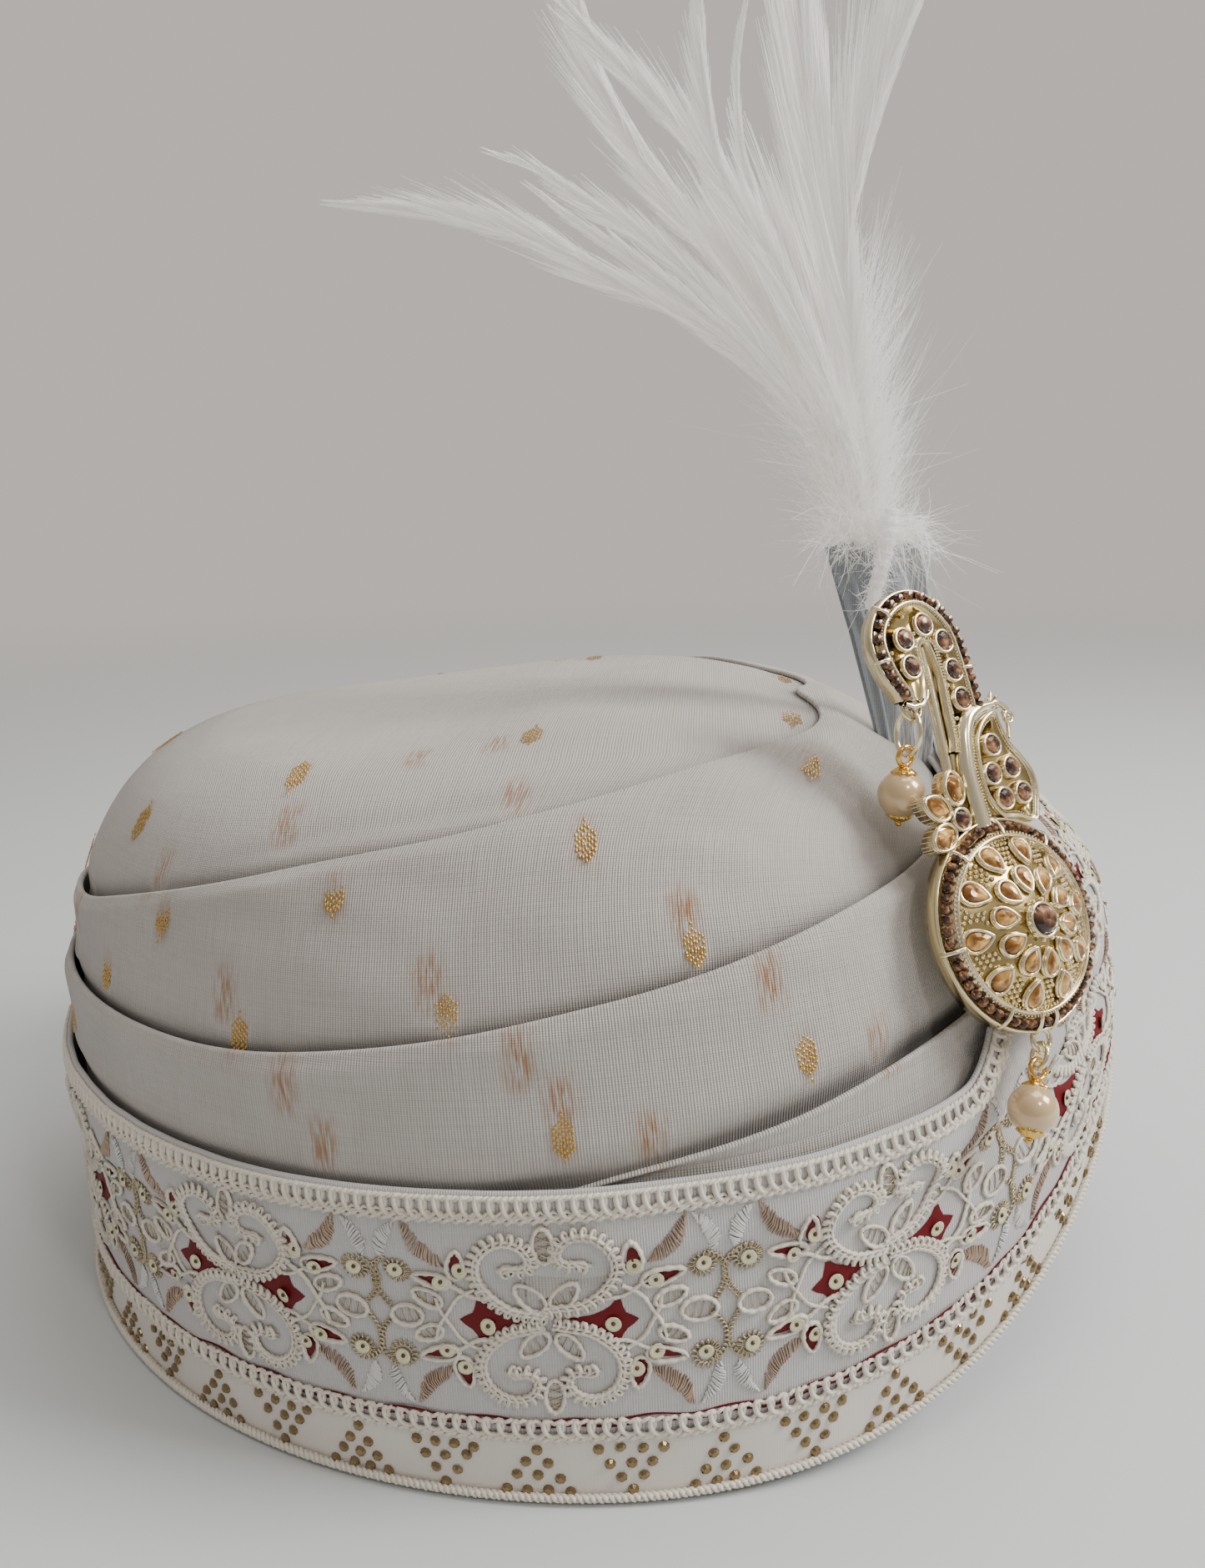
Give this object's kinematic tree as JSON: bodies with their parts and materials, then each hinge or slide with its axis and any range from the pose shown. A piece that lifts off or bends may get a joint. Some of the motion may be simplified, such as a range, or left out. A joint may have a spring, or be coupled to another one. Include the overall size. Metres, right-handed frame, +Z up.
{
  "type": "tied turban pagri with brooch and plume",
  "caption": "Ready-tied pagri turban: pleated pale cloth on a hollow padded body, embroidered lace-edged border, peacock kalgi brooch with pearl drops and a white feather plume.",
  "frame": {"origin": "centre of the rim, on the surface that the turban stands on", "axes": "+Z up, -Y towards the wearer's front where the rim is arched, -X towards the wearer's right side, which carries the brooch"},
  "size_m": [0.2388, 0.2662, 0.2838],
  "materials": {
    "crown_cloth": "matte sheer weave over a lining, small gold thread sprigs",
    "embroidered_cloth": "sheer cloth with corded, satin-stitch and sequin embroidery, satin rim with small stones",
    "lace": "ivory cord, looped",
    "pale_gold": "polished pale gold plate",
    "brown_stone": "faceted, glossy",
    "amber_stone": "faceted, glossy, foil backed",
    "bright_gold": "polished yellow gold plate",
    "pearl": "pearl coating",
    "sleeve_cloth": "stiffened sheer cloth, bluish white",
    "feather": "white feather"
  },
  "bodies": {
    "root": {"wound_body": "crown_cloth", "pleat_upper": "crown_cloth", "pleat_middle": "crown_cloth", "pleat_lower_right": "crown_cloth", "pleat_lower_left": "crown_cloth", "border_band": "embroidered_cloth", "front_wrap": "embroidered_cloth", "lace_upper": "lace", "lace_lower": "lace", "rim_cord": "lace", "brooch_frame": "pale_gold", "brooch_pin": "pale_gold", "jump_ring_upper": "pale_gold", "jump_ring_lower": "pale_gold", "halo_stones": "brown_stone", "hook_halo_stones": "brown_stone", "centre_stone": "brown_stone", "flower_stone_3": "brown_stone", "hook_stone_0": "brown_stone", "hook_stone_1": "brown_stone", "hook_stone_2": "brown_stone", "hook_stone_3": "brown_stone", "hook_stone_4": "brown_stone", "hook_stone_5": "brown_stone", "wing_stone_0": "brown_stone", "wing_stone_1": "brown_stone", "wing_stone_2": "brown_stone", "wing_stone_3": "brown_stone", "wing_stone_4": "brown_stone", "inner_stone_0": "amber_stone", "inner_stone_1": "amber_stone", "inner_stone_2": "amber_stone", "inner_stone_3": "amber_stone", "inner_stone_4": "amber_stone", "inner_stone_5": "amber_stone", "inner_stone_6": "amber_stone", "inner_stone_7": "amber_stone", "inner_stone_8": "amber_stone", "inner_stone_9": "amber_stone", "outer_stone_0": "amber_stone", "outer_stone_1": "amber_stone", "outer_stone_2": "amber_stone", "outer_stone_3": "amber_stone", "outer_stone_4": "amber_stone", "outer_stone_5": "amber_stone", "outer_stone_6": "amber_stone", "outer_stone_7": "amber_stone", "outer_stone_8": "amber_stone", "outer_stone_9": "amber_stone", "flower_stone_0": "amber_stone", "flower_stone_1": "amber_stone", "flower_stone_2": "amber_stone", "pearl_pin_upper": "bright_gold", "pearl_pin_lower": "bright_gold", "pearl_upper": "pearl", "pearl_lower": "pearl", "plume_sleeve": "sleeve_cloth", "plume": "feather"}
  },
  "joints": []
}
